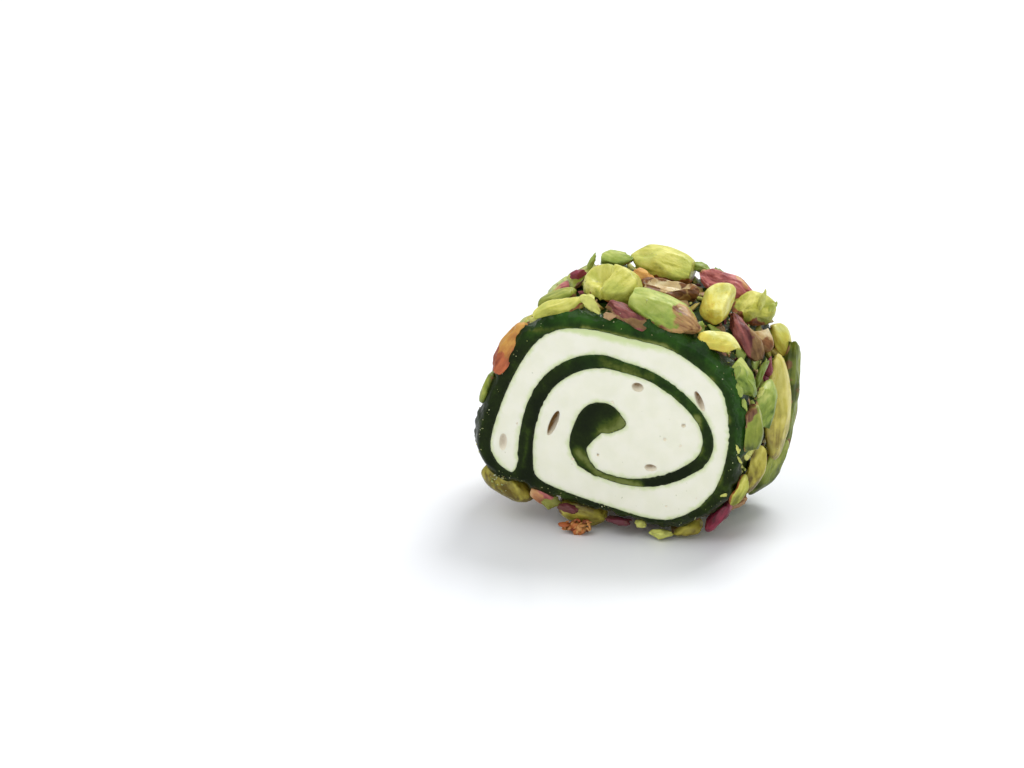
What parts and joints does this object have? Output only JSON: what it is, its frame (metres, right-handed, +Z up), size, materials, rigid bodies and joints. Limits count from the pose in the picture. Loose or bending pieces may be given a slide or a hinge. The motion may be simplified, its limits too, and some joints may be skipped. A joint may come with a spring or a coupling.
{
  "type": "turkish delight slice",
  "caption": "Slice of rolled Turkish delight: white nougat wound in a green jelly sheet, coated all round with chopped and whole pistachios.",
  "frame": {"origin": "on the ground, below the middle of the bounding box", "axes": "+Z up; the roll's axis lies along Y, the shown cut face looks along -Y, and +X is to its right"},
  "size_m": [0.0466, 0.0256, 0.0377],
  "materials": {
    "jelly": "moist, glossy, slightly see-through",
    "nougat": "matt, fine pores",
    "pistachio_yellow": "split pistachio flesh, satin",
    "pistachio_green": "green pistachio flesh, satin",
    "pistachio_olive": "olive pistachio flesh, satin",
    "pistachio_tan": "toasted pistachio skin, matt",
    "pistachio_purple": "purple pistachio skin, matt"
  },
  "bodies": {
    "root": {"jelly": "jelly", "nougat": "nougat", "kernel_01": "pistachio_yellow", "kernel_02": "pistachio_green", "kernel_03": "pistachio_yellow", "kernel_04": "pistachio_purple", "kernel_05": "pistachio_yellow", "kernel_06": "pistachio_purple", "kernel_07": "pistachio_olive", "kernel_08": "pistachio_olive", "kernel_09": "pistachio_green", "kernel_10": "pistachio_yellow", "kernel_11": "pistachio_tan", "kernel_12": "pistachio_green", "kernel_13": "pistachio_green", "kernel_14": "pistachio_green", "kernel_15": "pistachio_yellow", "kernel_16": "pistachio_purple", "kernel_17": "pistachio_tan", "kernel_18": "pistachio_yellow", "kernel_19": "pistachio_tan", "kernel_20": "pistachio_yellow", "kernel_21": "pistachio_green", "kernel_22": "pistachio_green", "kernel_23": "pistachio_green", "kernel_24": "pistachio_olive", "kernel_25": "pistachio_green", "kernel_26": "pistachio_yellow", "kernel_27": "pistachio_green", "kernel_28": "pistachio_tan", "kernel_29": "pistachio_purple", "kernel_30": "pistachio_green", "kernel_31": "pistachio_olive", "kernel_32": "pistachio_yellow", "kernel_33": "pistachio_olive", "kernel_34": "pistachio_tan", "kernel_35": "pistachio_olive", "kernel_36": "pistachio_purple", "kernel_37": "pistachio_green", "kernel_38": "pistachio_olive", "kernel_39": "pistachio_tan", "kernel_40": "pistachio_green", "kernel_41": "pistachio_purple", "kernel_42": "pistachio_green", "kernel_43": "pistachio_olive", "kernel_44": "pistachio_purple", "kernel_45": "pistachio_green", "kernel_46": "pistachio_tan", "kernel_47": "pistachio_olive", "kernel_48": "pistachio_tan", "kernel_49": "pistachio_green", "kernel_50": "pistachio_yellow", "kernel_51": "pistachio_yellow", "kernel_52": "pistachio_olive", "kernel_53": "pistachio_yellow", "kernel_54": "pistachio_yellow", "kernel_55": "pistachio_olive", "kernel_56": "pistachio_green"}
  },
  "joints": []
}
